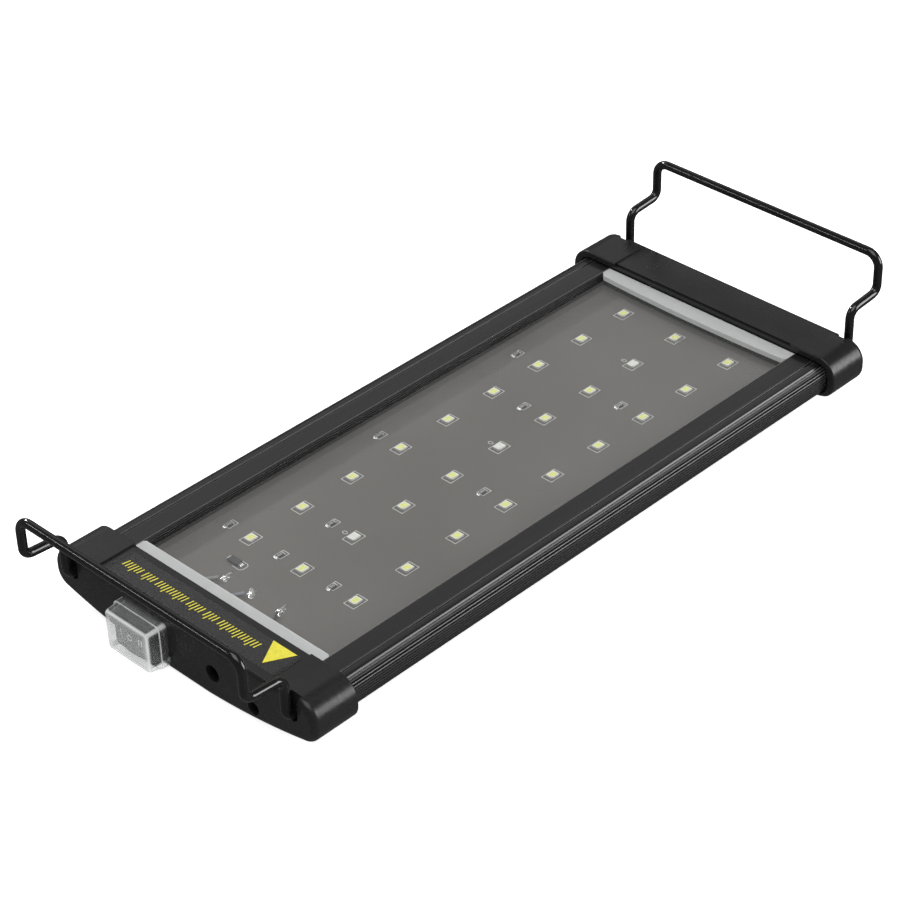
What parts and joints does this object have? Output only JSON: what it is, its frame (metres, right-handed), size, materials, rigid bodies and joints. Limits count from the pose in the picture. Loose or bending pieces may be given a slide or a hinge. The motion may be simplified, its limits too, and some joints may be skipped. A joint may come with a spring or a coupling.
{
  "type": "led aquarium light",
  "caption": "Slim LED aquarium light: ribbed aluminium trough, clear cover over a grey LED board, plastic end caps, booted rocker switch and sliding wire rim brackets.",
  "frame": {"origin": "on the surface that the convex back rests on, below the middle of the light", "axes": "+X along the light, away from the switch end; +Z out of the lit face; +Y completes the right-handed frame. In use the light is turned over, so that +Z points down into the tank"},
  "size_m": [0.2994, 0.1194, 0.0466],
  "materials": {
    "anodised_black": "satin black anodised extrusion, fine ribs along the sides",
    "cap_plastic": "satin black moulded plastic",
    "screw_steel": "dark zinc plated",
    "clear_cover": "clear acrylic sheet",
    "seal_grey": "light grey silicone",
    "pad_grey": "grey thermal pad",
    "board_grey": "grey coated metal-core board",
    "led_white": "white moulded LED package",
    "phosphor_yellow": "yellow phosphor silicone",
    "lens_clear": "clear silicone",
    "chip_black": "black moulded chip",
    "solder": "bright solder",
    "switch_black": "gloss black nylon",
    "brass": "bare brass",
    "spring_steel": "spring wire",
    "boot_clear": "clear flexible plastic",
    "wire_black": "gloss black coated steel wire",
    "label_film": null,
    "lead_grey": "grey insulation",
    "lead_blue": "pale blue-grey insulation",
    "lead_black": "black insulation",
    "lead_red": "red insulation"
  },
  "bodies": {
    "light_body": {"aluminium_housing": "anodised_black", "near_end_cap": "cap_plastic", "far_end_cap": "cap_plastic", "near_cap_screws": "screw_steel", "far_cap_screws": "screw_steel", "cover_sheet": "clear_cover", "near_seal": "seal_grey", "far_seal": "seal_grey", "thermal_pad": "pad_grey", "circuit_board": "board_grey", "white_led_packages": "led_white", "white_led_phosphors": "phosphor_yellow", "blue_led_packages": "led_white", "blue_led_lenses": "lens_clear", "resistors": "chip_black", "resistor_ends": "solder", "polarity_diode": "chip_black", "polarity_diode_leads": "solder", "solder_joints": "solder", "switch_body": "switch_black", "switch_tags": "brass", "switch_boot": "boot_clear", "power_socket_body": "switch_black", "power_socket_pin": "brass", "power_socket_tags": "brass", "caution_label": "label_film", "white_channel_lead": "lead_grey", "blue_channel_lead": "lead_blue", "return_lead": "lead_black", "supply_lead": "lead_red"},
    "near_bracket": {"near_bracket": "wire_black"},
    "far_bracket": {"far_bracket": "wire_black"},
    "rocker": {"switch_rocker": "switch_black", "rocker_plunger": "brass", "plunger_spring": "spring_steel"},
    "contact_arm": {"contact_arm": "brass"}
  },
  "joints": [
    {"name": "near_bracket_slide", "type": "slide", "parent": "light_body", "child": "near_bracket", "axis": [-1, 0, 0], "range_m": [0, 0.075]},
    {"name": "far_bracket_slide", "type": "slide", "parent": "light_body", "child": "far_bracket", "axis": [1, 0, 0], "range_m": [0, 0.075]},
    {"name": "rocker_tilt", "type": "hinge", "parent": "light_body", "child": "rocker", "pos_m": [-0.1314, 0.0162, 0.0095], "axis": [0, 0, 1], "range_deg": [-10, 10]},
    {"name": "contact_arm_tilt", "type": "hinge", "parent": "light_body", "child": "contact_arm", "pos_m": [-0.1246, 0.0162, 0.0095], "axis": [0, 0, 1], "range_deg": [-10, 10]}
  ],
  "couplings": [
    {"joint": "contact_arm_tilt", "follows": "rocker_tilt", "ratio": -1}
  ]
}
